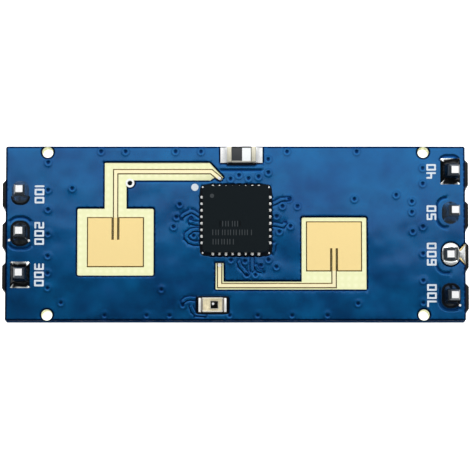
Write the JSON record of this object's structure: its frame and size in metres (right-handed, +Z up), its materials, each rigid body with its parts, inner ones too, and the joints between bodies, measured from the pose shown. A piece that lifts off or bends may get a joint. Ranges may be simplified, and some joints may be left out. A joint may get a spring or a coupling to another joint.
{
  "type": "microwave radar sensor module",
  "caption": "Small blue circuit board with two gold patch antennas, a radar chip and a light sensor, standing on two rows of square header pins.",
  "frame": {"origin": "below the middle of the board, level with the lower ends of the seven pins", "axes": "+X along the board towards the row of four pins, +Y towards the edge with the diode, +Z up, out of the face with the antennas"},
  "size_m": [0.0286, 0.0108, 0.0113],
  "materials": {
    "laminate": "fibreglass laminate, satin, pale beige",
    "blue_lacquer": "glossy blue solder lacquer",
    "gold_plating": "thin gold plating, smooth satin",
    "white_ink": "matte white print",
    "black_plastic": "moulded black plastic, satin",
    "pin_metal": "bright tinned metal",
    "solder": "bright smooth solder",
    "tinned_ends": "satin tin",
    "package_black": "moulded black package, matte",
    "diode_grey": "dark grey, satin",
    "white_paint": "white painted band",
    "sensor_white": "cream white, satin",
    "silicon": "dark polished silicon",
    "clear_resin": "clear cast resin",
    "capacitor_brown": "fired ceramic, satin",
    "resistor_black": "black glaze over ceramic",
    "crystal_ceramic": "dark grey ceramic",
    "lid_metal": "satin metal lid"
  },
  "bodies": {
    "root": {"board_laminate": "laminate", "capacitor_bodies": "capacitor_brown", "capacitor_ends": "tinned_ends", "chip_lands": "gold_plating", "crystal_base": "crystal_ceramic", "crystal_lid": "lid_metal", "diode_band": "white_paint", "diode_body": "diode_grey", "diode_ends": "tinned_ends", "diode_solder": "solder", "left_antenna": "gold_plating", "left_header_housing": "black_plastic", "left_pin_1": "pin_metal", "left_pin_2": "pin_metal", "left_pin_3": "pin_metal", "left_solder_1": "solder", "left_solder_2": "solder", "left_solder_3": "solder", "light_sensor_base": "sensor_white", "light_sensor_die": "silicon", "light_sensor_ends": "gold_plating", "light_sensor_lens": "clear_resin", "light_sensor_solder": "solder", "lower_lacquer": "blue_lacquer", "lower_lands": "gold_plating", "pin_hole_plating": "gold_plating", "radar_chip_body": "package_black", "radar_chip_leads": "tinned_ends", "radar_chip_solder": "solder", "radar_chip_thermal_pad": "tinned_ends", "regulator_body": "package_black", "regulator_leads": "tinned_ends", "resistor_bodies": "resistor_black", "resistor_ends": "tinned_ends", "right_antenna": "gold_plating", "right_header_housing": "black_plastic", "right_pin_1": "pin_metal", "right_pin_2": "pin_metal", "right_pin_3": "pin_metal", "right_pin_4": "pin_metal", "right_solder_1": "solder", "right_solder_2": "solder", "right_solder_3": "solder", "right_solder_4": "solder", "test_point": "gold_plating", "underside_solder": "solder", "upper_lacquer": "blue_lacquer", "upper_lands": "gold_plating", "white_print": "white_ink"}
  },
  "joints": []
}
